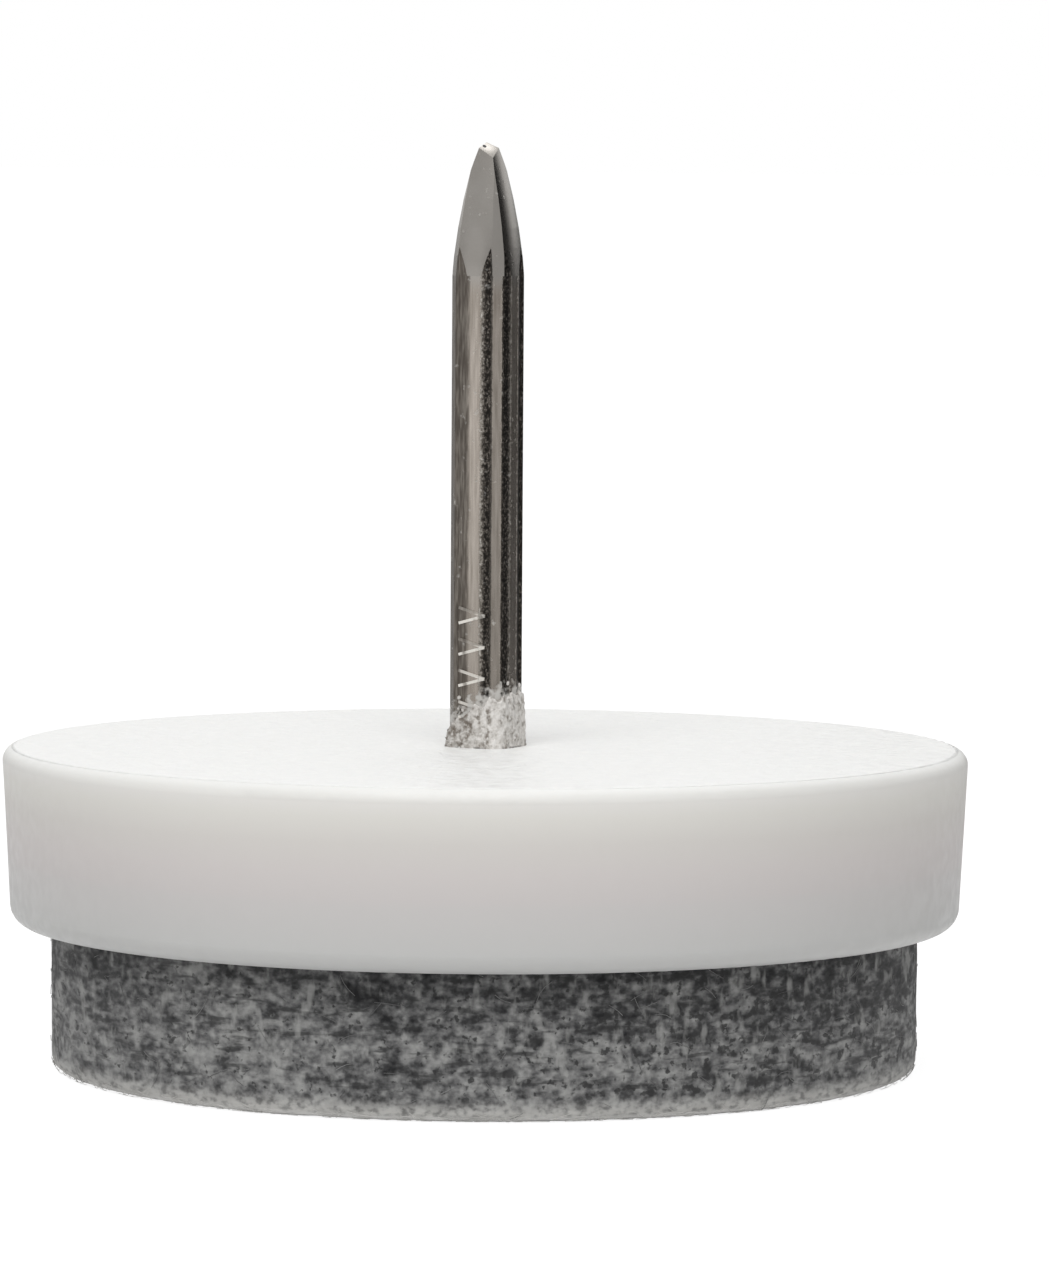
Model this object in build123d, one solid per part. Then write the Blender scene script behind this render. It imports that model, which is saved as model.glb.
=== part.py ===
# Nail-on felt glide for a furniture leg. All sizes are in millimetres.
# A white moulded disc carries a steel nail that stands up out of its top face. The disc's underside
# is a shallow cup, and a thick grey felt disc is glued into it. The nail's head lies in the cup's
# floor, under the glue. The plastic is moulded round the nail, so some of it has crept up the flutes.
# The origin is the centre of the felt's sole, +Z points up along the nail, and the nail's four flats
# face along X and Y.
import os
from math import atan, cos, degrees, radians, sqrt, tan

from build123d import *

# felt disc
felt_diameter = 21.6
felt_thickness = 4.7
felt_sole_edge_chamfer = 0.25

# glue between the felt and the cup's floor
glue_thickness = 0.15
glue_margin = 0.5  # bare felt left outside the glue

# moulded disc
disc_diameter = 24.0  # across the top rim, its widest place
disc_height = 4.4
disc_draft_angle = 3.0  # the side leans inwards on its way down
disc_top_edge_radius = 0.35
disc_lower_edge_radius = 0.5
cup_depth = 1.25
cup_clearance = 0.1  # round the felt
cup_mouth_chamfer = 0.15

# nail
nail_length = 15.0  # above the disc's top face
wire_width = 1.5  # across the flat ridges
ridge_width = 0.38
flute_depth = 0.07  # at its deepest, beside the corner
flute_deepest_offset = 0.44  # from the middle of each side
corner_bevel_start = 0.52  # from the middle of each side
corner_bevel_drop = 0.02  # below the ridge
point_length = 3.3
point_bulge = 0.09  # how far each facet is crowned
point_edge_margin = 0.08  # the narrow facets run out this far outside the tip's corners
tip_width = 0.28
tip_cut_angle = 35.0  # slope of the sheared end
tip_cut_bearing = 45.0  # the way that it leans, from -Y towards +X
head_diameter = 5.0
head_thickness = 0.9
head_edge_chamfer = 0.15

# raised lines that the wire grips leave across two opposite ridges
grip_count = 4
grip_pitch = 0.78
grip_first = 0.95  # above the disc's top face
grip_angle = 15.0
grip_reach = 0.72
grip_line_width = 0.07
grip_line_rise = 0.03  # above the ridge

# plastic that has crept up round the nail's foot
flash_foot_gap = 0.08  # thickness on the ridges at the foot
flash_tall = 1.25  # on the +X side
flash_short = 0.35  # on the -X side
flash_taper = 2.0  # degrees
flash_corner_radius = 0.45

# heights that follow from the sizes above
felt_top = felt_thickness
cup_floor = felt_top + glue_thickness
disc_bottom = cup_floor - cup_depth
disc_top = disc_bottom + disc_height
nail_tip = disc_top + nail_length


def make_felt():
    """A die-cut disc with its sole edge eased."""
    disc = Cylinder(felt_diameter / 2, felt_thickness, align=(Align.CENTER, Align.CENTER, Align.MIN))
    sole_edge = disc.edges().sort_by(Axis.Z)[0]
    return chamfer(sole_edge, felt_sole_edge_chamfer)


def make_glue():
    """A thin film over the cup's floor and the nail's head."""
    film = Cylinder(
        felt_diameter / 2 - glue_margin,
        glue_thickness,
        align=(Align.CENTER, Align.CENTER, Align.MIN),
    )
    return Pos(0, 0, felt_top) * film


def wire_section():
    """The square wire: each side has a flat ridge between two sloping flutes, and each corner a bevel."""
    half_wide = wire_width / 2
    one_side = [
        (half_wide - corner_bevel_drop, -corner_bevel_start),
        (half_wide - flute_depth, -flute_deepest_offset),
        (half_wide, -ridge_width / 2),
        (half_wide, ridge_width / 2),
        (half_wide - flute_depth, flute_deepest_offset),
        (half_wide - corner_bevel_drop, corner_bevel_start),
    ]
    outline = []
    for turn in range(0, 360, 90):
        outline += [Vector(*point).rotate(Axis.Z, turn) for point in one_side]
    return make_face(Polyline(*outline, close=True))


def point_envelope(half_wide, half_tip):
    """The space between two opposite crowned facets, endless across and down to the nail's head."""
    shoulder = nail_tip - point_length
    crown = Vector(point_length, 0, half_wide - half_tip).normalized() * point_bulge
    middle = Vector((half_wide + half_tip) / 2, 0, shoulder + point_length / 2) + crown
    low_right = (half_wide, 0, cup_floor)
    shoulder_right = (half_wide, 0, shoulder)
    tip_right = (half_tip, 0, nail_tip)
    shoulder_left = (-half_wide, 0, shoulder)
    tip_left = (-half_tip, 0, nail_tip)
    low_left = (-half_wide, 0, cup_floor)
    outline = [
        Line(low_left, low_right),
        Line(low_right, shoulder_right),
        ThreePointArc(shoulder_right, middle, tip_right),
        Line(tip_right, tip_left),
        ThreePointArc(tip_left, (-middle.X, 0, middle.Z), shoulder_left),
        Line(shoulder_left, low_left),
    ]
    return extrude(make_face(Wire(outline)), amount=2 * wire_width, both=True)


def shape_point(shank):
    """Forges the four wide facets, the narrow ones on their edges, and the sheared end."""
    half_wide = wire_width / 2
    half_tip = tip_width / 2
    bevel_distance = (half_wide - corner_bevel_drop + corner_bevel_start) / sqrt(2)
    wide_facets = point_envelope(half_wide, half_tip)
    edge_facets = point_envelope(bevel_distance, half_tip * sqrt(2) + point_edge_margin)
    for turn in (0, 90):
        shank &= Rot(Z=turn) * wide_facets
        shank &= Rot(Z=turn + 45) * edge_facets
    waste = Box(
        4 * wire_width,
        4 * wire_width,
        2 * wire_width,
        align=(Align.CENTER, Align.CENTER, Align.MIN),
    )
    highest_corner = Pos(-half_tip, half_tip, nail_tip)
    return shank - highest_corner * Rot(Z=tip_cut_bearing) * Rot(X=tip_cut_angle) * waste


def grip_lines():
    """Chevrons of thin raised lines across the -Y ridge, and the same across the +Y ridge."""
    ridge_face = wire_width / 2
    line_length = grip_reach / cos(radians(grip_angle))
    line_depth = grip_line_rise + flute_depth
    line = Box(
        line_length,
        line_depth,
        grip_line_width,
        align=(Align.MAX, Align.MIN, Align.CENTER),
    )
    lines = []
    for row in range(grip_count):
        height = disc_top + grip_first + row * grip_pitch
        vertex = Pos(grip_reach / 2, -ridge_face - grip_line_rise, height)
        for way in (-1, 1):
            lines.append(vertex * Rot(Y=way * grip_angle) * line)
    return lines + [Rot(Z=180) * line for line in lines]


def make_nail():
    """The nail, with its head down on the level of the cup's floor."""
    head = Cylinder(
        head_diameter / 2,
        head_thickness,
        align=(Align.CENTER, Align.CENTER, Align.MIN),
    )
    head = chamfer(head.edges().sort_by(Axis.Z)[-1], head_edge_chamfer)
    shank = extrude(wire_section(), amount=nail_tip - cup_floor)
    nail = shape_point(Pos(0, 0, cup_floor) * shank) + Pos(0, 0, cup_floor) * head
    for line in grip_lines():
        nail += line
    return nail


def make_flash():
    """A thin tapered sleeve of plastic round the nail's foot, taller on its +X side."""
    foot_width = wire_width + 2 * flash_foot_gap
    sleeve = extrude(Rectangle(foot_width, foot_width), amount=flash_tall, taper=flash_taper)
    upright_edges = sleeve.edges().filter_by(GeomType.LINE).sort_by(Axis.Z)[4:8]
    sleeve = fillet(upright_edges, flash_corner_radius)
    slope = degrees(atan((flash_tall - flash_short) / foot_width))
    waste = Box(
        4 * wire_width,
        4 * wire_width,
        4 * flash_tall,
        align=(Align.CENTER, Align.CENTER, Align.MIN),
    )
    top_middle = Pos(0, 0, (flash_tall + flash_short) / 2)
    return Pos(0, 0, disc_top) * (sleeve - top_middle * Rot(Y=-slope) * waste)


def make_disc(nail):
    """The moulded disc: drafted side, soft rims, a cup below for the felt, and the nail's own socket."""
    draft = radians(disc_draft_angle)
    # the sharp corner, which the top edge radius brings back to the stated diameter
    corner_radius = disc_diameter / 2 + disc_top_edge_radius * (tan(draft) + 1 / cos(draft) - 1)
    lower_radius = corner_radius - disc_height * tan(draft)
    side = Polyline(
        (0, 0, disc_bottom),
        (lower_radius, 0, disc_bottom),
        (corner_radius, 0, disc_top),
        (0, 0, disc_top),
        close=True,
    )
    disc = revolve(make_face(side), axis=Axis.Z)
    rims = disc.edges().filter_by(GeomType.CIRCLE).sort_by(Axis.Z)
    disc = fillet(rims[-1], disc_top_edge_radius)
    rims = disc.edges().filter_by(GeomType.CIRCLE).sort_by(Axis.Z)
    disc = fillet(rims[0], disc_lower_edge_radius)
    cup_radius = felt_diameter / 2 + cup_clearance
    cup = Cylinder(cup_radius, cup_depth, align=(Align.CENTER, Align.CENTER, Align.MIN))
    mouth = Cone(
        cup_radius + cup_mouth_chamfer,
        cup_radius,
        cup_mouth_chamfer,
        align=(Align.CENTER, Align.CENTER, Align.MIN),
    )
    disc -= Pos(0, 0, disc_bottom) * (cup + mouth)
    return disc + make_flash() - nail


def main():
    nail = make_nail()
    parts = {
        "moulded_disc": make_disc(nail),
        "nail": nail,
        "glue_film": make_glue(),
        "felt_pad": make_felt(),
    }
    os.makedirs("parts", exist_ok=True)
    for name, solid in parts.items():
        export_step(solid, f"parts/{name}.step")


main()
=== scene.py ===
import random
from math import cos, pi, radians, sin, tan

import bmesh
import bpy
from mathutils import Euler, Matrix, Vector, noise


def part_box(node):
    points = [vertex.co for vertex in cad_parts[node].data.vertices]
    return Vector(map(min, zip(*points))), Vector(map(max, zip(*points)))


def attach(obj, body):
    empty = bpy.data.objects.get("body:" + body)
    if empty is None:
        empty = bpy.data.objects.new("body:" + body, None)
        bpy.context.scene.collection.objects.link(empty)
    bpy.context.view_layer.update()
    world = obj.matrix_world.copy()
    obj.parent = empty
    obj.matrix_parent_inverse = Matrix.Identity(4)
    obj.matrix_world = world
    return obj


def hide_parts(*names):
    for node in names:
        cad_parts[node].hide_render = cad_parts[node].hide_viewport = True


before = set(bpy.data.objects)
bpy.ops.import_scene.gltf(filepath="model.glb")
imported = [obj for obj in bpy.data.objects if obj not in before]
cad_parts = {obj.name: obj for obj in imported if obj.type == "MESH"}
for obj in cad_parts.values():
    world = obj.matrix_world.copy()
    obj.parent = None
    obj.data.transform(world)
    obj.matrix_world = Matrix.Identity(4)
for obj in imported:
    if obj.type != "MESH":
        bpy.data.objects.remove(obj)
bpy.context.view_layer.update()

MM = 0.001
random.seed(7)

# places read from the solids
felt_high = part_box("felt_pad")[1]
FELT_RADIUS = felt_high.x
FELT_TOP = felt_high.z
DISC_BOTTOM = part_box("moulded_disc")[0].z
NAIL_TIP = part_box("nail")[1].z

# sizes that the part's source also has
DISC_TOP = 8.0 * MM
RIM_TOP_RADIUS = 0.35 * MM
RIM_LOW_RADIUS = 0.5 * MM
SIDE_LEAN = sin(radians(3.0))
NAIL_HALF_WIDTH = 0.75 * MM
FLASH_FOOT_GAP = 0.08 * MM
RIDGE_HALF_WIDTH = 0.19 * MM
BEVEL_REACH = 0.21 * MM
POINT_LENGTH = 3.3 * MM
GRIP_FIRST = DISC_TOP + 0.95 * MM
GRIP_PITCH = 0.78 * MM
GRIPS_TOP = DISC_TOP + 3.6 * MM

# how much the point's facets turn their gloss outwards, for each metre from their middle
FACET_CROWN = 650.0
# the way that the wool's fibres lie in the felt, turned from +Y towards -X
FIBRE_LAY = radians(28.0)
# the colour of wool that the floor has rubbed clean
WORN_WOOL = (0.66, 0.65, 0.625)


# small helpers for modelling


def activate(piece):
    """Makes this piece the only one that is selected."""
    bpy.ops.object.select_all(action="DESELECT")
    piece.select_set(True)
    bpy.context.view_layer.objects.active = piece


def take_new(name):
    """Names the object that the last operator added, and bakes its place into its mesh."""
    piece = bpy.context.object
    activate(piece)
    piece.name = name
    piece.data.name = name
    bpy.ops.object.transform_apply(location=True, rotation=True, scale=True)
    return piece


def join(pieces):
    """Makes one piece of several, under the first one's name."""
    activate(pieces[0])
    for piece in pieces:
        piece.select_set(True)
    bpy.ops.object.join()
    return pieces[0]


def apply_modifiers(piece):
    """Makes all the piece's modifiers part of its mesh."""
    activate(piece)
    for modifier in list(piece.modifiers):
        bpy.ops.object.modifier_apply(modifier=modifier.name)


def select_edges(piece, wanted):
    """Opens the piece in edit mode with only the edges selected for which wanted(edge) is true."""
    activate(piece)
    bpy.ops.object.mode_set(mode="EDIT")
    bpy.ops.mesh.select_mode(type="EDGE")
    bpy.ops.mesh.select_all(action="DESELECT")
    mesh = bmesh.from_edit_mesh(piece.data)
    for edge in mesh.edges:
        edge.select_set(wanted(edge))
    bmesh.update_edit_mesh(piece.data)


def bevel_selected(piece, offset):
    """Rounds the selected edges of the piece that is open in edit mode, and closes it."""
    bpy.ops.mesh.bevel(offset=offset, segments=5, affect="EDGES")
    bpy.ops.object.mode_set(mode="OBJECT")


def remesh(piece, voxel):
    """Gives the piece an even mesh that can be roughened."""
    modifier = piece.modifiers.new("even_mesh", "REMESH")
    modifier.mode = "VOXEL"
    modifier.voxel_size = voxel
    modifier.use_smooth_shade = True


def roughen(piece, size, height, detail=2):
    """Raises and lowers the surface with soft lumps of this size and full height."""
    lumps = bpy.data.textures.new(f"{piece.name}_lumps", "CLOUDS")
    lumps.noise_scale = size
    lumps.noise_depth = detail
    modifier = piece.modifiers.new("roughen", "DISPLACE")
    modifier.texture = lumps
    modifier.texture_coords = "LOCAL"
    modifier.strength = height
    modifier.mid_level = 0.5


def dress(piece, material):
    """Gives the piece this one material."""
    piece.data.materials.clear()
    piece.data.materials.append(material)


# small helpers for materials


def new_material(name):
    """A new material with its node tree and its one shader."""
    material = bpy.data.materials.new(name)
    material.use_nodes = True
    return material, material.node_tree, material.node_tree.nodes["Principled BSDF"]


def add_node(tree, kind, settings=None, **inputs):
    """Adds a node. Each input is given by its name, as a value or as the output that feeds it."""
    made = tree.nodes.new(kind)
    for name, value in (settings or {}).items():
        setattr(made, name, value)
    for name, value in inputs.items():
        feed(tree, made.inputs[name.replace("_", " ")], value)
    return made


def feed(tree, socket, value):
    """Links an output to the socket, or sets the socket to a plain value."""
    if isinstance(value, bpy.types.NodeSocket):
        tree.links.new(value, socket)
    else:
        socket.default_value = value


def maths(tree, operation, first, second=0.0, third=0.0):
    """One sum on one or more numbers."""
    made = add_node(tree, "ShaderNodeMath", {"operation": operation})
    for socket, value in zip(made.inputs, (first, second, third)):
        feed(tree, socket, value)
    return made.outputs[0]


def vector_maths(tree, operation, first, second=(0.0, 0.0, 0.0)):
    """One sum on one or two vectors."""
    made = add_node(tree, "ShaderNodeVectorMath", {"operation": operation})
    feed(tree, made.inputs[0], first)
    feed(tree, made.inputs[1], second)
    return made.outputs[0]


def product(tree, *shares):
    """All the shares multiplied together."""
    result = shares[0]
    for share in shares[1:]:
        result = maths(tree, "MULTIPLY", result, share)
    return result


def spread(tree, value, low, high, new_low=0.0, new_high=1.0):
    """Takes the range from low to high to a new range, softly, and holds it there."""
    made = add_node(
        tree,
        "ShaderNodeMapRange",
        {"interpolation_type": "SMOOTHSTEP"},
        Value=value,
        From_Min=low,
        From_Max=high,
        To_Min=new_low,
        To_Max=new_high,
    )
    return made.outputs["Result"]


def mix_colours(tree, share, first, second):
    """The first colour where share is 0, and the second where it is 1."""
    made = add_node(tree, "ShaderNodeMix", {"data_type": "RGBA"})
    for place, value in ((0, share), (6, first), (7, second)):
        if isinstance(value, tuple):
            value = (*value, 1.0)
        feed(tree, made.inputs[place], value)
    return made.outputs[2]


def lay_over(tree, colour, *layers):
    """Lays each layer of (share, colour) over what is there."""
    for share, over in layers:
        colour = mix_colours(tree, share, colour, over)
    return colour


def ramp(tree, value, stops):
    """A colour for each value, from stops of (value, colour)."""
    made = add_node(tree, "ShaderNodeValToRGB", Fac=value)
    colours = made.color_ramp.elements
    while len(colours) < len(stops):
        colours.new(1.0)
    for element, (place, colour) in zip(colours, stops):
        element.position = place
        element.color = (*colour, 1.0)
    return made.outputs["Color"]


def place_of(tree):
    """A point's place on the piece: as one vector, and as its x, y and z."""
    coordinates = add_node(tree, "ShaderNodeTexCoord").outputs["Object"]
    split = add_node(tree, "ShaderNodeSeparateXYZ", Vector=coordinates)
    return coordinates, *split.outputs


def grain(tree, coordinates, size, detail=2.0, stretch=(1.0, 1.0, 1.0), rough=0.5, shift=0.0):
    """Soft noise with lumps of this size, longer along an axis where stretch is above 1.
    A shift of its own keeps one grain from repeating another's pattern."""
    scale = tuple(1.0 / (size * longer) for longer in stretch)
    mapped = add_node(
        tree,
        "ShaderNodeMapping",
        Vector=coordinates,
        Scale=scale,
        Location=(shift, shift, shift),
    )
    made = add_node(
        tree,
        "ShaderNodeTexNoise",
        Vector=mapped.outputs["Vector"],
        Scale=1.0,
        Detail=detail,
        Roughness=rough,
    )
    return made.outputs["Fac"]


def add_bump(tree, shader, layers, normal=None):
    """Chains bump layers of (height output, real height) and feeds the last to the shader."""
    for height, distance in layers:
        made = add_node(tree, "ShaderNodeBump", Height=height, Distance=distance, Strength=1.0)
        if normal is not None:
            tree.links.new(normal, made.inputs["Normal"])
        normal = made.outputs["Normal"]
    tree.links.new(normal, shader.inputs["Normal"])


def set_shader(tree, shader, **inputs):
    """Sets or feeds the shader's inputs by their names."""
    for name, value in inputs.items():
        feed(tree, shader.inputs[name.replace("_", " ")], value)


# moulded plastic


def rough_flash(tree, coordinates, x):
    """The colour and the height of rough plastic, with dirt in its pits, most on the -X side."""
    grime = (0.2, 0.185, 0.165)
    brown_stain = (0.14, 0.115, 0.09)
    pits = grain(tree, coordinates, 0.12 * MM, detail=3.0, rough=0.55)
    stains = grain(tree, coordinates, 0.2 * MM, stretch=(1.0, 1.0, 1.6), detail=3.0, shift=9.0)
    dirty_side = spread(tree, x, 0.45 * MM, -0.2 * MM)
    clean = ramp(
        tree,
        maths(tree, "MULTIPLY_ADD", dirty_side, -0.07, pits),
        [
            (0.26, (0.25, 0.225, 0.195)),
            (0.36, (0.5, 0.475, 0.445)),
            (0.5, (0.65, 0.625, 0.595)),
            (0.65, (0.74, 0.72, 0.695)),
        ],
    )
    stains = maths(tree, "MULTIPLY_ADD", dirty_side, 0.1, stains)
    stained = product(tree, spread(tree, stains, 0.48, 0.7, 0.0, 0.9), spread(tree, pits, 0.7, 0.42))
    colour = lay_over(
        tree,
        clean,
        (product(tree, dirty_side, 0.2), grime),
        (stained, brown_stain),
    )
    return colour, pits


def side_colour_and_shade(tree, z):
    """The disc's side: painted shade makes it greyer downwards, standing in for the light falling off
    lower down; it is faintly pink half way; and painted light makes it paler at its foot, where the
    lower rim faces the shadowed floor.
    """
    span = DISC_TOP - DISC_BOTTOM
    low_down = maths(tree, "MULTIPLY_ADD", z, -1.0 / span, DISC_TOP / span)
    return ramp(
        tree,
        low_down,
        [
            (0.01, (0.81, 0.81, 0.79)),
            (0.04, (0.77, 0.765, 0.74)),
            (0.09, (0.8, 0.785, 0.755)),
            (0.16, (0.755, 0.74, 0.7)),
            (0.3, (0.685, 0.66, 0.63)),
            (0.46, (0.655, 0.62, 0.605)),
            (0.6, (0.62, 0.59, 0.58)),
            (0.64, (0.605, 0.585, 0.575)),
            (0.9, (0.56, 0.56, 0.55)),
            (1.0, (0.68, 0.68, 0.67)),
        ],
    )


def turned_rim(tree, x, y, z):
    """The exact normal of the disc's outer side and of its two rounded rims, from a point's place."""
    inside_side = FELT_RADIUS + 0.5 * MM
    top_arc = maths(tree, "MULTIPLY_ADD", z, 1.0 / RIM_TOP_RADIUS, 1.0 - DISC_TOP / RIM_TOP_RADIUS)
    top_arc = maths(tree, "MINIMUM", maths(tree, "MAXIMUM", top_arc, -SIDE_LEAN), 1.0)
    low_end = SIDE_LEAN - 1.0 - DISC_BOTTOM / RIM_LOW_RADIUS
    low_arc = maths(tree, "MULTIPLY_ADD", z, 1.0 / RIM_LOW_RADIUS, low_end)
    upwards = maths(tree, "ADD", top_arc, maths(tree, "MINIMUM", low_arc, 0.0))
    downwards = maths(tree, "MULTIPLY", upwards, -1.0)
    outwards = maths(tree, "SQRT", maths(tree, "MULTIPLY_ADD", upwards, downwards, 1.0))
    from_axis = maths(tree, "SQRT", maths(tree, "MULTIPLY_ADD", x, x, maths(tree, "MULTIPLY", y, y)))
    share = maths(tree, "DIVIDE", outwards, from_axis)
    exact = add_node(
        tree,
        "ShaderNodeCombineXYZ",
        X=maths(tree, "MULTIPLY", x, share),
        Y=maths(tree, "MULTIPLY", y, share),
        Z=upwards,
    )
    given = add_node(tree, "ShaderNodeNewGeometry").outputs["Normal"]
    mixed = add_node(tree, "ShaderNodeMix", {"data_type": "VECTOR"})
    on_side = maths(tree, "GREATER_THAN", from_axis, inside_side)
    for place, value in ((0, on_side), (4, given), (5, exact.outputs[0])):
        feed(tree, mixed.inputs[place], value)
    return mixed.outputs[1]


def moulded_plastic():
    """White moulded plastic: a sandy top face, a satin side with painted shade and painted light, and
    rough flash round the nail.
    """
    material, tree, shader = new_material("white_moulded_plastic")
    coordinates, x, y, z = place_of(tree)
    on_top = spread(tree, z, DISC_TOP - 0.03 * MM, DISC_TOP)
    on_flash = spread(tree, z, DISC_TOP + 0.01 * MM, DISC_TOP + 0.05 * MM)
    sand = grain(tree, coordinates, 0.3 * MM)
    satin = grain(tree, coordinates, 0.25 * MM)
    top_colour = ramp(tree, sand, [(0.3, (0.845, 0.845, 0.832)), (0.7, (0.9, 0.9, 0.884))])
    flash_colour, flash_height = rough_flash(tree, coordinates, x)
    set_shader(
        tree,
        shader,
        Base_Color=lay_over(tree, side_colour_and_shade(tree, z), (on_top, top_colour), (on_flash, flash_colour)),
        Roughness=spread(tree, sand, 0.3, 0.7, 0.38, 0.6),
        Subsurface_Weight=0.15,
        Subsurface_Radius=(1.0, 0.95, 0.9),
        Subsurface_Scale=0.6 * MM,
    )
    heights = [
        (satin, 0.003 * MM),
        (product(tree, sand, on_top), 0.1 * MM),
        (product(tree, flash_height, on_flash), 0.03 * MM),
    ]
    add_bump(tree, shader, heights, turned_rim(tree, x, y, z))
    return material


def flash_plastic():
    """The rough plastic at the nail's foot, with painted shade in the crevice where it meets the disc.
    """
    crevice_shade = (0.14, 0.13, 0.12)
    material, tree, shader = new_material("rough_plastic_flash")
    coordinates, x, _, z = place_of(tree)
    colour, pits = rough_flash(tree, coordinates, x)
    broken = grain(tree, coordinates, 0.25 * MM, shift=6.0)
    # painted shade: darker in the crevice just above the disc
    near_disc = spread(tree, z, DISC_TOP + 0.06 * MM, DISC_TOP)
    crevice = product(tree, near_disc, spread(tree, broken, 0.45, 0.58, 0.0, 0.8))
    colour = mix_colours(tree, crevice, colour, crevice_shade)
    set_shader(tree, shader, Base_Color=colour, Roughness=0.5)
    add_bump(tree, shader, [(pits, 0.03 * MM)])
    return material


# drawn steel


def rounded(tree, coordinates, amount):
    """The normal of flat facets, turned outwards towards their edges as if they were crowned."""
    normal = add_node(tree, "ShaderNodeNewGeometry").outputs["True Normal"]
    level = vector_maths(tree, "MULTIPLY", coordinates, (1.0, 1.0, 0.0))
    inwards = vector_maths(tree, "PROJECT", level, normal)
    across = vector_maths(tree, "SUBTRACT", level, inwards)
    turned = vector_maths(tree, "MULTIPLY", across, amount)
    return vector_maths(tree, "NORMALIZE", vector_maths(tree, "ADD", turned, normal))


def flute_slopes(tree, x, y, pits, pitted_side):
    """How far a point is from the middle of the nail's side, and whether it is on a flute's long slope.
    The slope's two edges are ragged where the steel is pitted."""
    # the wire was drawn a little off its centre
    ridge_shift = 0.03 * MM
    bevel_shift = 0.04 * MM
    raggedness = 0.08 * MM
    far_x = maths(tree, "ABSOLUTE", x)
    far_y = maths(tree, "ABSOLUTE", y)
    moved_x = maths(tree, "ABSOLUTE", maths(tree, "SUBTRACT", x, ridge_shift))
    past_corner = maths(tree, "SUBTRACT", far_x, far_y)
    moved_corner = maths(tree, "ABSOLUTE", maths(tree, "ADD", past_corner, bevel_shift))
    ragged = maths(tree, "MULTIPLY_ADD", pits, 2 * raggedness, -raggedness)
    ragged = product(tree, ragged, pitted_side)
    from_middle = maths(tree, "ADD", maths(tree, "MINIMUM", moved_x, far_y), ragged)
    from_corner = maths(tree, "ADD", moved_corner, ragged)
    past_ridge = spread(tree, from_middle, RIDGE_HALF_WIDTH - 0.04 * MM, RIDGE_HALF_WIDTH + 0.01 * MM)
    short_of_bevel = spread(tree, from_corner, BEVEL_REACH - 0.05 * MM, BEVEL_REACH - 0.01 * MM)
    return from_middle, product(tree, past_ridge, short_of_bevel)


def flute_colour_and_reflection(tree, drag, pits, pitted_side, from_middle):
    """Dark steel in the flutes, streaked on the -X side and pitted on the +X side. The dark is partly
    the steel's own drag marks and pits, and partly painted reflection of the dark that the flutes
    mirror.
    """
    slope_end = RIDGE_HALF_WIDTH + 0.13 * MM
    beside_ridge = spread(tree, from_middle, RIDGE_HALF_WIDTH, slope_end, 0.07, -0.1)
    dragged = ramp(tree, drag, [(0.3, (0.16, 0.135, 0.115)), (0.7, (0.34, 0.31, 0.275))])
    pitted = ramp(
        tree,
        maths(tree, "ADD", pits, beside_ridge),
        [
            (0.38, (0.02, 0.018, 0.016)),
            (0.5, (0.1, 0.088, 0.077)),
            (0.6, (0.3, 0.275, 0.245)),
            (0.72, (0.6, 0.57, 0.53)),
        ],
    )
    return mix_colours(tree, pitted_side, dragged, pitted)


def plain_steel(tree, coordinates, z, streaks, on_point):
    """Streaked steel that is duller towards the foot, and smooth forged steel on the point."""
    dull = (0.15, 0.14, 0.125)
    shoulder = NAIL_TIP - POINT_LENGTH
    drawn = ramp(tree, streaks, [(0.3, (0.3, 0.265, 0.23)), (0.7, (0.45, 0.405, 0.36))])
    towards_foot = spread(tree, z, DISC_TOP + 7.0 * MM, DISC_TOP + 3.0 * MM, 0.0, 0.25)
    smudges = grain(tree, coordinates, 0.6 * MM, shift=2.0)
    forged = ramp(tree, smudges, [(0.3, (0.345, 0.325, 0.3)), (0.7, (0.38, 0.36, 0.335))])
    near_point = spread(tree, z, shoulder - 0.5 * MM, shoulder + 0.1 * MM)
    forged_share = maths(tree, "MAXIMUM", on_point, near_point)
    return lay_over(tree, drawn, (towards_foot, dull), (forged_share, forged))


def grip_press(tree, z):
    """How bright a grip line is: the upper line of each row fades on the higher rows."""
    row = maths(tree, "MULTIPLY_ADD", z, 1.0 / GRIP_PITCH, 0.5 - GRIP_FIRST / GRIP_PITCH)
    upper = spread(tree, maths(tree, "FRACT", row), 0.52, 0.58)
    faded = spread(tree, z, GRIP_FIRST + GRIP_PITCH, GRIP_FIRST + 2.0 * GRIP_PITCH, 0.2, 0.85)
    return maths(tree, "SUBTRACT", 1.0, product(tree, upper, faded))


def worn_grips(tree, coordinates, y, z):
    """Where the grip lines stand proud of the ridges, and how brightly they are worn there."""
    proud = spread(tree, maths(tree, "ABSOLUTE", y), NAIL_HALF_WIDTH, NAIL_HALF_WIDTH + 0.01 * MM)
    on_grip = product(tree, proud, spread(tree, z, GRIPS_TOP, GRIPS_TOP - 0.1 * MM))
    scuffs = grain(tree, coordinates, 0.22 * MM, detail=1.0, shift=5.0)
    worn = product(tree, on_grip, spread(tree, scuffs, 0.3, 0.5, 0.3, 1.0), grip_press(tree, z))
    return on_grip, worn


def cut_pit(tree, x, y):
    """One in the small dark pit on the left of the nail's sheared end, and none elsewhere."""
    pit_radius = 0.05 * MM
    soft_edge = 0.01 * MM
    aside = maths(tree, "ADD", x, 0.11 * MM)
    ahead = maths(tree, "ADD", y, 0.03 * MM)
    square = maths(tree, "MULTIPLY_ADD", aside, aside, maths(tree, "MULTIPLY", ahead, ahead))
    from_pit = maths(tree, "SQRT", square)
    return spread(tree, from_pit, pit_radius + soft_edge, pit_radius - soft_edge)


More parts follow.
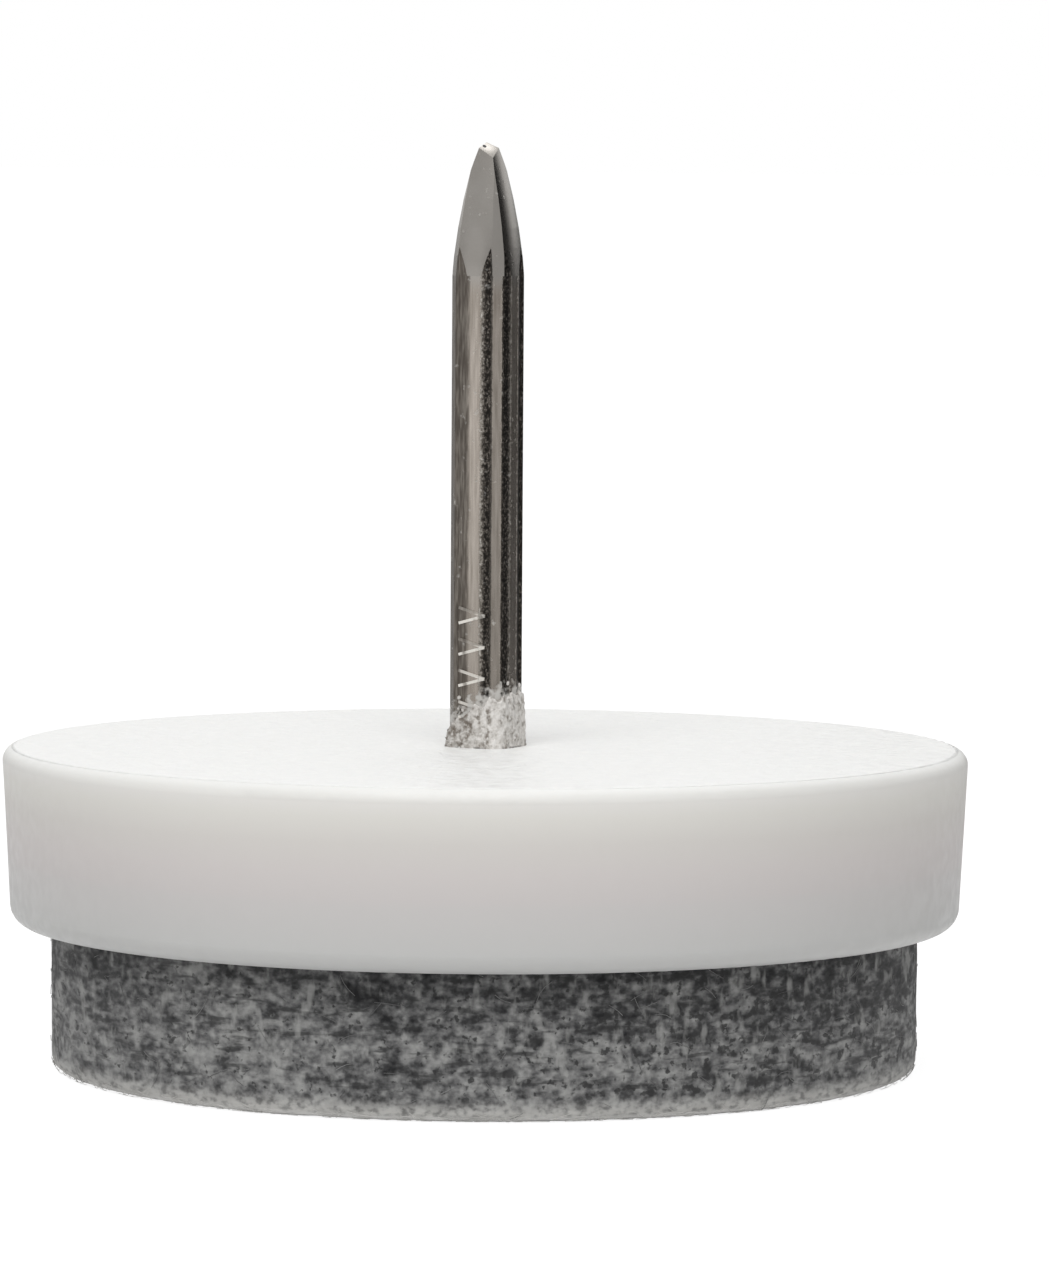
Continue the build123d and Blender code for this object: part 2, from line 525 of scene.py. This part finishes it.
def plastic_smear(tree, coordinates, x, z):
    """How much plastic is smeared on the steel just above the flash."""
    over_flash = maths(tree, "MULTIPLY_ADD", x, -0.5, z)
    low_enough = spread(tree, over_flash, DISC_TOP + 1.6 * MM, DISC_TOP + 0.9 * MM, 0.0, 0.36)
    specks = grain(tree, coordinates, 0.16 * MM, shift=7.0)
    return spread(tree, maths(tree, "ADD", specks, low_enough), 0.64, 0.9)


def nail_steel():
    """Drawn steel: streaked ridges and bevels, dark flutes with painted reflection, smooth facets and
    worn grip lines.
    """
    dark_tarnish = (0.1, 0.088, 0.075)
    worn_bright = (0.76, 0.73, 0.68)
    pit_black = (0.02, 0.02, 0.02)
    smeared_plastic = (0.5, 0.485, 0.46)
    material, tree, shader = new_material("drawn_steel")
    coordinates, x, y, z = place_of(tree)
    normal = add_node(tree, "ShaderNodeNewGeometry").outputs["True Normal"]
    facing_up = add_node(tree, "ShaderNodeSeparateXYZ", Vector=normal).outputs["Z"]
    on_point = spread(tree, maths(tree, "ABSOLUTE", facing_up), 0.03, 0.05)
    on_shank = maths(tree, "SUBTRACT", 1.0, on_point)
    on_cut = spread(tree, facing_up, 0.5, 0.6)
    pitted_side = spread(tree, x, -0.1 * MM, 0.1 * MM)
    tarnished_side = spread(tree, x, -0.07 * MM, -0.13 * MM)

    streaks = grain(tree, coordinates, 0.07 * MM, stretch=(1.0, 1.0, 14.0), detail=3.0)
    drag = grain(tree, coordinates, 0.06 * MM, stretch=(1.0, 1.0, 9.0), detail=3.0, shift=4.0)
    pits = grain(tree, coordinates, 0.06 * MM, stretch=(1.0, 1.0, 1.3), detail=3.0, rough=0.7)
    from_middle, on_slope = flute_slopes(tree, x, y, pits, pitted_side)
    in_flute = product(tree, on_slope, on_shank)
    tarnish = product(tree, tarnished_side, spread(tree, drag, 0.35, 0.65, 0.75, 0.3), on_shank)
    on_grip, worn_grip = worn_grips(tree, coordinates, y, z)
    smear = plastic_smear(tree, coordinates, x, z)
    colour = lay_over(
        tree,
        plain_steel(tree, coordinates, z, streaks, on_point),
        # the flutes' dark is partly painted reflection
        (in_flute, flute_colour_and_reflection(tree, drag, pits, pitted_side, from_middle)),
        (tarnish, dark_tarnish),
        (worn_grip, worn_bright),
        (product(tree, on_cut, cut_pit(tree, x, y)), pit_black),
        (smear, smeared_plastic),
    )
    uneven = maths(tree, "MAXIMUM", maths(tree, "MAXIMUM", in_flute, on_grip), smear)
    set_shader(
        tree,
        shader,
        Base_Color=colour,
        Metallic=maths(tree, "SUBTRACT", 1.0, smear),
        Roughness=spread(tree, uneven, 0.0, 1.0, 0.27, 0.42),
    )
    crowned = rounded(tree, coordinates, maths(tree, "MULTIPLY", on_point, FACET_CROWN))
    heights = [
        (product(tree, streaks, on_shank), 0.002 * MM),
        (product(tree, pits, in_flute, pitted_side), 0.02 * MM),
        (smear, 0.01 * MM),
    ]
    add_bump(tree, shader, heights, crowned)
    return material


# wool felt and glue


def wool_colour(tree, tone):
    """Grey wool, from the dark gaps between its fibres to the pale fibres on top."""
    return ramp(
        tree,
        tone,
        [
            (0.02, (0.015, 0.015, 0.016)),
            (0.24, (0.06, 0.06, 0.061)),
            (0.4, (0.135, 0.135, 0.135)),
            (0.52, (0.2, 0.2, 0.198)),
            (0.64, (0.27, 0.27, 0.265)),
            (0.78, (0.33, 0.33, 0.322)),
            (0.92, (0.39, 0.39, 0.38)),
        ],
    )


def felt():
    """Needled wool felt: grain that is longer along the fibres' lay, with cracks, pinholes, pale tufts
    and a worn sole.
    It has painted shade just under the disc and towards +X, and painted light along the very sole."""
    crack_shade = (0.035, 0.035, 0.035)
    hole_shade = (0.03, 0.03, 0.03)
    pale_tuft = (0.37, 0.37, 0.36)
    painted_light_edge = (0.9, 0.89, 0.87)
    material, tree, shader = new_material("grey_wool_felt")
    coordinates, x, _, z = place_of(tree)
    along_lay = add_node(
        tree,
        "ShaderNodeVectorRotate",
        {"rotation_type": "Z_AXIS"},
        Vector=coordinates,
        Angle=-FIBRE_LAY,
    ).outputs[0]
    patches = grain(tree, along_lay, 2.4 * MM, stretch=(1.5, 2.0, 0.8))
    lumps = grain(tree, along_lay, 0.7 * MM, stretch=(1.4, 2.6, 0.8), shift=2.0)
    wool = grain(tree, along_lay, 0.32 * MM, stretch=(1.2, 2.6, 0.9), shift=5.0)
    specks = grain(tree, along_lay, 0.16 * MM, stretch=(1.1, 2.6, 0.9), shift=3.0)
    pinholes = grain(tree, along_lay, 0.17 * MM, stretch=(1.0, 2.6, 1.0), shift=15.0)
    upright = grain(tree, along_lay, 0.3 * MM, stretch=(1.0, 2.6, 2.4), detail=3.0, shift=9.0)
    level = grain(tree, along_lay, 0.22 * MM, stretch=(4.0, 6.0, 0.8), detail=3.0, shift=12.0)

    # painted shade: the felt starts darker just under the disc, where the disc's overhang shades it
    tone = spread(tree, z, DISC_BOTTOM - 0.3 * MM, DISC_BOTTOM - 2.1 * MM, -0.17, 0.0)
    for layer, weight in (
        (patches, 0.55),
        (lumps, 0.65),
        (wool, 1.0),
        (specks, 0.85),
        (upright, 0.25),
        (level, 0.2),
    ):
        share = maths(tree, "MULTIPLY_ADD", layer, weight, -0.5 * weight)
        tone = maths(tree, "ADD", tone, share)
    # painted shade: the felt a shade darker towards +X, away from the key light
    painted_shade_side = spread(tree, x, -4.0 * MM, FELT_RADIUS, 0.0, -0.08)
    tone = maths(tree, "ADD", maths(tree, "ADD", tone, painted_shade_side), 0.5)

    above_edge = spread(tree, z, 0.4 * MM, 0.8 * MM)
    above_sole = spread(tree, z, 0.2 * MM, 0.7 * MM)
    near_sole = spread(tree, z, 0.6 * MM, 0.1 * MM)
    # painted light: the wool at the very sole is near white, lifting the shade on its down-turned
    # rounded edge
    painted_light_at_sole = spread(tree, z, 0.2 * MM, 0.05 * MM)
    # painted shade: more of the dark pinholes towards +X, which darkens that side too
    pinhole_shade_side = spread(tree, x, 3.0 * MM, 9.0 * MM, 0.0, -0.06)
    pinholes = maths(tree, "ADD", pinholes, pinhole_shade_side)
    set_shader(
        tree,
        shader,
        Base_Color=lay_over(
            tree,
            wool_colour(tree, tone),
            (product(tree, spread(tree, level, 0.45, 0.32, 0.0, 0.72), above_edge), crack_shade),
            (product(tree, spread(tree, pinholes, 0.4, 0.3, 0.0, 0.85), above_sole), hole_shade),
            (spread(tree, upright, 0.55, 0.72, 0.0, 0.6), pale_tuft),
            (product(tree, near_sole, spread(tree, specks, 0.3, 0.6, 0.4, 0.95)), WORN_WOOL),
            (painted_light_at_sole, painted_light_edge),
        ),
        Roughness=0.95,
        Sheen_Weight=0.15,
        Sheen_Roughness=0.6,
        Specular_IOR_Level=0.15,
    )
    add_bump(tree, shader, [(lumps, 0.06 * MM), (wool, 0.05 * MM)])
    return material


def fibre(name, deep, pale):
    """Single wool fibres, between two tones."""
    material, tree, shader = new_material(name)
    coordinates, *_ = place_of(tree)
    tone = grain(tree, coordinates, 0.5 * MM, detail=1.0)
    colour = ramp(tree, tone, [(0.35, deep), (0.65, pale)])
    set_shader(tree, shader, Base_Color=colour, Roughness=0.8, Sheen_Weight=0.2, Specular_IOR_Level=0.3)
    return material


def dried_glue():
    """Clear yellowish glue with small bubbles, hidden between the disc and the felt."""
    material, tree, shader = new_material("dried_glue")
    coordinates, *_ = place_of(tree)
    bubbles = grain(tree, coordinates, 0.4 * MM)
    colour = ramp(tree, bubbles, [(0.35, (0.62, 0.55, 0.36)), (0.7, (0.8, 0.75, 0.56))])
    set_shader(tree, shader, Base_Color=colour, Roughness=0.3)
    add_bump(tree, shader, [(bubbles, 0.02 * MM)])
    return material


# pieces


def dress_solids():
    """Gives each solid that stays in view its own finish."""
    for name, material in (
        ("moulded_disc", moulded_plastic()),
        ("nail", nail_steel()),
        ("glue_film", dried_glue()),
    ):
        dress(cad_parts[name], material)


def make_felt_body():
    """The thick felt disc: a soft lower edge, and a surface full of small lumps."""
    room_for_lumps = 0.02 * MM
    sole_edge_radius = 0.35 * MM
    on_floor = 0.01 * MM
    bpy.ops.mesh.primitive_cylinder_add(
        vertices=160,
        radius=FELT_RADIUS - room_for_lumps,
        depth=FELT_TOP,
        location=(0.0, 0.0, FELT_TOP / 2),
    )
    piece = take_new("felt_sole")
    select_edges(piece, lambda edge: all(corner.co.z < on_floor for corner in edge.verts))
    bevel_selected(piece, sole_edge_radius)
    remesh(piece, 0.13 * MM)
    roughen(piece, 1.5 * MM, 0.03 * MM)
    roughen(piece, 0.35 * MM, 0.025 * MM, detail=3)
    apply_modifiers(piece)
    for corner in piece.data.vertices:
        corner.co.z = min(max(corner.co.z, 0.0), FELT_TOP)
    dress(piece, felt())
    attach(piece, "root")
    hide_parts("felt_pad")


def make_fibres(name, count, thickness, lowest, highest, tilt, material):
    """Short bent wool fibres that lie along the felt's side, and follow its edge in at the sole."""
    shortest = 0.2 * MM
    longest = 0.65 * MM
    points_each = 4
    sole_gap = 0.03 * MM
    edge_height = 0.35 * MM
    edge_curve = 1.2 / MM
    lines = bpy.data.curves.new(name, "CURVE")
    lines.dimensions = "3D"
    lines.bevel_depth = thickness / 2
    lines.bevel_resolution = 0
    for _ in range(count):
        length = random.uniform(shortest, longest)
        angle = random.uniform(0.0, 2 * pi)
        height = random.uniform(lowest, highest)
        lean = random.gauss(0.0, tilt)
        bend = random.uniform(-0.5, 0.5)
        line = lines.splines.new("POLY")
        line.points.add(points_each - 1)
        for step in range(points_each):
            share = step / (points_each - 1) - 0.5
            heading = lean + bend * share
            turned = angle + share * length * cos(heading) / FELT_RADIUS
            up = max(height + share * length * sin(heading), sole_gap)
            below_edge = max(0.0, edge_height - up)
            radius = FELT_RADIUS - edge_curve * below_edge**2
            line.points[step].co = (radius * cos(turned), radius * sin(turned), up, 1.0)
    piece = bpy.data.objects.new(name, lines)
    bpy.context.scene.collection.objects.link(piece)
    activate(piece)
    bpy.ops.object.convert(target="MESH")
    piece = bpy.context.object
    dress(piece, material)
    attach(piece, "root")


def make_all_fibres():
    """Pale and dark fibres all over the felt's side, and a pale fuzz round its sole."""
    pale = fibre("pale_wool_fibre", (0.16, 0.16, 0.16), (0.27, 0.27, 0.265))
    dark = fibre("dark_wool_fibre", (0.1, 0.1, 0.1), (0.16, 0.16, 0.16))
    worn = fibre("worn_wool_fibre", (0.5, 0.495, 0.475), WORN_WOOL)
    side_tilt = 0.9
    fuzz_tilt = 0.25
    hair = 0.014 * MM
    fine_hair = 0.012 * MM
    make_fibres("felt_fibres_pale", 160, hair, 0.15 * MM, DISC_BOTTOM, side_tilt, pale)
    make_fibres("felt_fibres_dark", 120, hair, 0.6 * MM, DISC_BOTTOM, side_tilt, dark)
    make_fibres("felt_fuzz_sole", 500, fine_hair, 0.02 * MM, 0.16 * MM, fuzz_tilt, worn)


def flash_reach(x):
    """How high the plastic has crept here across the nail: lowest on the -X side."""
    middle = 0.95 * MM
    rise = 0.4 * MM
    crown = 0.1 * MM
    share = x / NAIL_HALF_WIDTH
    return middle + rise * share - crown * share**2


def add_lump(low, high, size, first=0.0, last=2 * pi):
    """A small lump of plastic between two heights, somewhere round the nail's foot."""
    angle = random.uniform(first, last)
    flat_side = NAIL_HALF_WIDTH + FLASH_FOOT_GAP
    round_corner = 1.14 * flat_side
    reach = min(flat_side / max(abs(cos(angle)), abs(sin(angle))), round_corner)
    height = DISC_TOP + random.uniform(low, high)
    bpy.ops.mesh.primitive_ico_sphere_add(
        subdivisions=2,
        radius=size,
        location=(reach * cos(angle), reach * sin(angle), height),
    )
    return take_new("lump")


def make_flash_crust():
    """The rough plastic that has crept up the nail's foot, thin and ragged along its upper edge."""
    half_foot = NAIL_HALF_WIDTH + FLASH_FOOT_GAP + 0.015 * MM
    sunk = 0.1 * MM
    tall = 1.3 * MM
    corner_radius = 0.4 * MM
    lump_count = 40
    large_rag = 0.22 * MM
    small_rag = 0.08 * MM
    bpy.ops.mesh.primitive_cube_add(size=1.0, location=(0.0, 0.0, DISC_TOP + (tall - sunk) / 2))
    bpy.context.object.scale = (2 * half_foot, 2 * half_foot, tall + sunk)
    piece = take_new("flash_crust")
    select_edges(piece, lambda edge: abs(edge.verts[0].co.z - edge.verts[1].co.z) > tall / 2)
    bevel_selected(piece, corner_radius)
    lumps = [add_lump(0.0, 0.3 * MM, random.uniform(0.03, 0.06) * MM) for _ in range(lump_count)]
    piece = join([piece] + lumps)
    remesh(piece, 0.022 * MM)
    roughen(piece, 0.2 * MM, 0.06 * MM)
    roughen(piece, 0.07 * MM, 0.03 * MM)
    apply_modifiers(piece)
    for corner in piece.data.vertices:
        above = corner.co.z - DISC_TOP
        if above > 0.0:
            share = above / tall
            ragged = noise.noise(corner.co / large_rag) + 0.15 * noise.noise(corner.co / small_rag)
            thinner = 1.0 - 0.06 * share**2
            reach = flash_reach(corner.co.x) * (1.0 + 0.16 * ragged * share)
            corner.co = (corner.co.x * thinner, corner.co.y * thinner, DISC_TOP + share * reach)
    dress(piece, flash_plastic())
    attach(piece, "root")


def make_crumbs():
    """Loose grains of plastic that cling to the nail just above the flash, most on the +X side."""
    into_steel = 0.03 * MM
    pulled_in = (NAIL_HALF_WIDTH - into_steel) / (NAIL_HALF_WIDTH + FLASH_FOOT_GAP)
    crumbs = []
    for first, last, low, high, count in (
        (-0.3 * pi, 0.3 * pi, 1.15 * MM, 1.7 * MM, 14),
        (-0.7 * pi, -0.3 * pi, 0.85 * MM, 1.25 * MM, 8),
        (0.3 * pi, 0.7 * pi, 0.85 * MM, 1.25 * MM, 8),
        (0.75 * pi, 1.25 * pi, 0.4 * MM, 0.8 * MM, 6),
    ):
        for _ in range(count):
            size = random.uniform(0.03, 0.065) * MM
            crumb = add_lump(low, high, size, first, last)
            for corner in crumb.data.vertices:
                corner.co.x *= pulled_in
                corner.co.y *= pulled_in
            crumbs.append(crumb)
    piece = join(crumbs)
    piece.name = "flash_crumbs"
    roughen(piece, 0.03 * MM, 0.025 * MM)
    apply_modifiers(piece)
    dress(piece, flash_plastic())
    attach(piece, "root")


# stage

ROOM_LIGHT = 0.53
SOFTBOX_DISTANCE = 0.4
CAMERA_AZIMUTH = 28.0
CAMERA_PITCH = 4.05
CAMERA_ROLL = 0.35
CAMERA_DISTANCE = 181.84 * MM
# where the middle of the disc's top face lies from the camera's axis
AIM_RIGHT = -0.97 * MM
AIM_UP = -2.61 * MM
CARD_DISTANCE = 70.0 * MM
CARD_TOP = 120.0 * MM
# the low cards end at this height, and the high ones start there
CARD_SPLIT = 23.0 * MM


def new_stage_material(name):
    """A new material with an empty node tree, and the socket of its output."""
    material = bpy.data.materials.new(name)
    material.use_nodes = True
    tree = material.node_tree
    tree.nodes.clear()
    output = add_node(tree, "ShaderNodeOutputMaterial")
    return material, tree, output.inputs["Surface"]


def grey(tone):
    """A plain grey as a colour with its alpha."""
    return (tone, tone, tone, 1.0)


def where_seen(tree):
    """One for the camera's rays and for reflected ones, and none for the rays that light the object."""
    path = add_node(tree, "ShaderNodeLightPath")
    seen = maths(tree, "MAXIMUM", path.outputs["Is Camera Ray"], path.outputs["Is Glossy Ray"])
    return maths(tree, "MAXIMUM", seen, path.outputs["Is Transmission Ray"])


def make_floor():
    """A wide pale floor just under the sole, which shows only a faint shadow."""
    drop = 0.02 * MM
    bpy.ops.mesh.primitive_plane_add(size=6.0, location=(0.0, 0.0, -drop))
    floor = take_new("floor")
    material, tree, surface = new_stage_material("pale_floor")
    matt = add_node(tree, "ShaderNodeBsdfDiffuse", Color=grey(0.7))
    shadow_catch = add_node(tree, "ShaderNodeBsdfDiffuse", Color=grey(0.22))
    glow = add_node(tree, "ShaderNodeEmission", Color=grey(1.0), Strength=0.9)
    both = add_node(tree, "ShaderNodeAddShader")
    mixed = add_node(tree, "ShaderNodeMixShader", Fac=where_seen(tree))
    for made, socket in (
        (shadow_catch, both.inputs[0]),
        (glow, both.inputs[1]),
        (matt, mixed.inputs[1]),
        (both, mixed.inputs[2]),
        (mixed, surface),
    ):
        tree.links.new(made.outputs[0], socket)
    dress(floor, material)


def make_world():
    """A white room to the camera and in reflections, and a plain soft light otherwise."""
    world = bpy.data.worlds.new("studio")
    bpy.context.scene.world = world
    world.use_nodes = True
    tree = world.node_tree
    background = tree.nodes["Background"]
    background.inputs["Color"].default_value = grey(1.0)
    strength = maths(tree, "MULTIPLY_ADD", where_seen(tree), 1.0 - ROOM_LIGHT, ROOM_LIGHT)
    tree.links.new(strength, background.inputs["Strength"])


def around(azimuth, elevation, distance):
    """A place seen from the object's middle, with azimuth 0 in front and 90 on its right."""
    flat = distance * cos(radians(elevation))
    return Vector(
        (
            flat * sin(radians(azimuth)),
            -flat * cos(radians(azimuth)),
            distance * sin(radians(elevation)),
        )
    )


def make_softbox(name, azimuth, elevation, size, power):
    """A square lamp that faces the middle of the disc's top face."""
    light = bpy.data.lights.new(name, "AREA")
    light.shape = "SQUARE"
    light.size = size
    light.energy = power
    holder = bpy.data.objects.new(name, light)
    bpy.context.scene.collection.objects.link(holder)
    holder.location = around(azimuth, elevation, SOFTBOX_DISTANCE)
    towards_disc = Vector((0.0, 0.0, DISC_TOP)) - holder.location
    holder.rotation_euler = towards_disc.to_track_quat("-Z", "Y").to_euler()


def make_card(name, first, last, low, high, tone):
    """An upright card from one azimuth to another that shows only in the steel's reflections."""
    middle = (first + last) / 2
    width = 2 * CARD_DISTANCE * tan(radians((last - first) / 2))
    place = around(middle, 0.0, CARD_DISTANCE) + Vector((0.0, 0.0, (low + high) / 2))
    turned = (radians(90.0), 0.0, radians(middle))
    bpy.ops.mesh.primitive_plane_add(size=1.0, location=place, rotation=turned)
    bpy.context.object.scale = (width, high - low, 1.0)
    card = take_new(name)
    material, tree, surface = new_stage_material(name)
    glow = add_node(tree, "ShaderNodeEmission", Color=grey(tone), Strength=1.0)
    tree.links.new(glow.outputs[0], surface)
    dress(card, material)
    card.visible_camera = False
    card.visible_diffuse = False
    card.visible_shadow = False
    card.visible_transmission = False


def make_cards():
    """Dark and grey cards round the set, which give the steel its light and dark bands."""
    for name, first, last, low, high, tone in (
        ("card_at_camera", -8.0, 38.0, 0.0, CARD_SPLIT, 0.2),
        ("card_high_at_camera", -70.0, 38.0, CARD_SPLIT, CARD_TOP, 0.72),
        ("card_at_right", 38.0, 88.0, 0.0, CARD_TOP, 0.62),
        ("card_behind_right", 88.0, 142.0, 0.0, CARD_SPLIT, 0.04),
        ("card_high_behind_right", 88.0, 142.0, CARD_SPLIT, CARD_TOP, 0.02),
        ("card_behind", 142.0, 200.0, 0.0, CARD_SPLIT, 0.12),
        ("card_high_behind", 142.0, 154.0, CARD_SPLIT, CARD_TOP, 0.35),
        ("card_high_behind_left", 154.0, 215.0, CARD_SPLIT, CARD_TOP, 1.0),
        ("card_at_left", -135.0, -48.0, 0.0, CARD_SPLIT, 0.45),
    ):
        make_card(name, first, last, low, high, tone)


def make_camera():
    """The photographer's view: a long lens, a little above the disc and turned by a hair."""
    camera = bpy.data.cameras.new("camera")
    camera.sensor_width = 36.0
    camera.lens = 205.0
    camera.clip_start = 0.01
    camera.clip_end = 20.0
    holder = bpy.data.objects.new("camera", camera)
    bpy.context.scene.collection.objects.link(holder)
    turn = Euler((radians(90.0 - CAMERA_PITCH), 0.0, radians(CAMERA_AZIMUTH))).to_matrix()
    turn = turn @ Matrix.Rotation(radians(CAMERA_ROLL), 3, "Z")
    disc_middle = Vector((0.0, 0.0, DISC_TOP))
    holder.rotation_euler = turn.to_euler()
    holder.location = disc_middle - turn @ Vector((AIM_RIGHT, AIM_UP, -CAMERA_DISTANCE))
    bpy.context.scene.camera = holder


def make_stage():
    """The floor, the room, two lamps and the cards."""
    make_floor()
    make_world()
    make_softbox("key_softbox", azimuth=19.0, elevation=55.0, size=0.3, power=0.94)
    make_softbox("top_softbox", azimuth=190.0, elevation=66.0, size=0.1, power=0.09)
    make_cards()
    bpy.context.scene.view_settings.view_transform = "Standard"


make_camera()
make_stage()
dress_solids()
make_felt_body()
make_all_fibres()
make_flash_crust()
make_crumbs()
